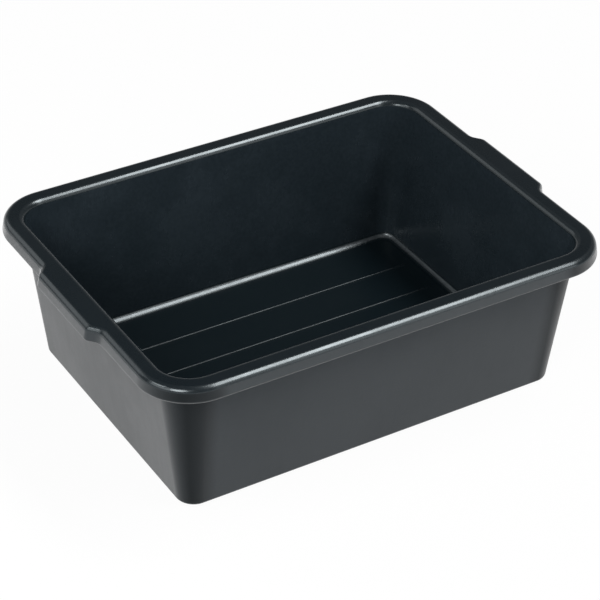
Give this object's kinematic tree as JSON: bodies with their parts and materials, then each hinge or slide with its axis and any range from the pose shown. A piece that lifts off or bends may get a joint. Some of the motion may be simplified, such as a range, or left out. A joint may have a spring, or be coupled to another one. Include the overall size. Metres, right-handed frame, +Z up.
{
  "type": "mortar mixing tub",
  "caption": "Open rectangular plastic mixing tub with drafted walls, rounded corners, a rolled rim with a grip at each end and low ribs along the floor.",
  "frame": {"origin": "middle of the flat underside", "axes": "+X along the length towards the right grip, +Y across the width towards the back, +Z up out of the open mouth"},
  "size_m": [0.526, 0.382, 0.165],
  "materials": {
    "pan": "black moulded polyethylene, matte outside and slightly glossy inside",
    "rim_front": "black moulded polyethylene, slightly glossy",
    "rim_back": "black moulded polyethylene, slightly glossy",
    "grip_left": "black moulded polyethylene, slightly glossy",
    "grip_right": "black moulded polyethylene, slightly glossy",
    "floor_rib_1": "black moulded polyethylene, slightly glossy",
    "floor_rib_2": "black moulded polyethylene, slightly glossy",
    "floor_rib_3": "black moulded polyethylene, slightly glossy",
    "floor_rib_4": "black moulded polyethylene, slightly glossy"
  },
  "bodies": {
    "root": {"pan": "pan", "rim_front": "rim_front", "rim_back": "rim_back", "grip_left": "grip_left", "grip_right": "grip_right", "floor_rib_1": "floor_rib_1", "floor_rib_2": "floor_rib_2", "floor_rib_3": "floor_rib_3", "floor_rib_4": "floor_rib_4"}
  },
  "joints": []
}
